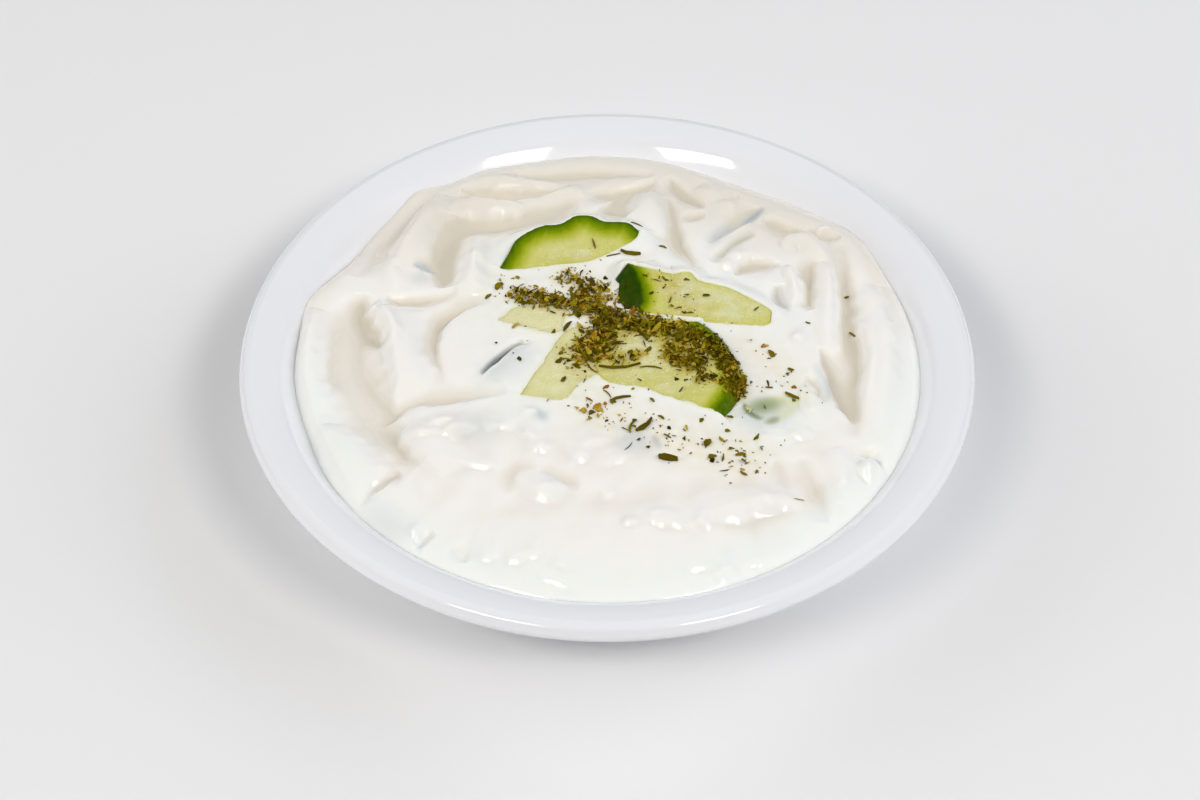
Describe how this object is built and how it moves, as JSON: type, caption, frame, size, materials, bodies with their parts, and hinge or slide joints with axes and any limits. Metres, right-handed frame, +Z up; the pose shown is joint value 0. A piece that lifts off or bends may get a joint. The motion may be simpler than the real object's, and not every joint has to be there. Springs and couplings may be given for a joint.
{
  "type": "yogurt and cucumber dip in a dish",
  "caption": "Thick white yogurt dip filling a small round rimmed dish, folded by a spoon, topped with cucumber slices and a pinch of dried herbs.",
  "frame": {"origin": "on the surface the dish stands on, under the centre of its foot ring", "axes": "+Z up, -Y towards the eater, +X to the eater's right; the herb-strewn cucumber slices lie around the middle"},
  "size_m": [0.15, 0.15, 0.0337],
  "materials": {
    "glaze": "white glossy glaze, smooth, with sharp window-like reflections",
    "yogurt": "thick strained yogurt: soft, wet and slightly see-through, warm in its folds, with small wet highlights; flecked with dried herb",
    "cucumber": "wet cucumber: pale see-through flesh that turns yellow-green and then dark green at the rind; strewn with dried herb"
  },
  "bodies": {
    "root": {"dish": "glaze", "dip": "yogurt", "cucumber_back": "cucumber", "cucumber_right": "cucumber", "cucumber_front": "cucumber", "cucumber_left": "cucumber", "cucumber_tip": "cucumber", "cucumber_sunk": "cucumber"}
  },
  "joints": []
}
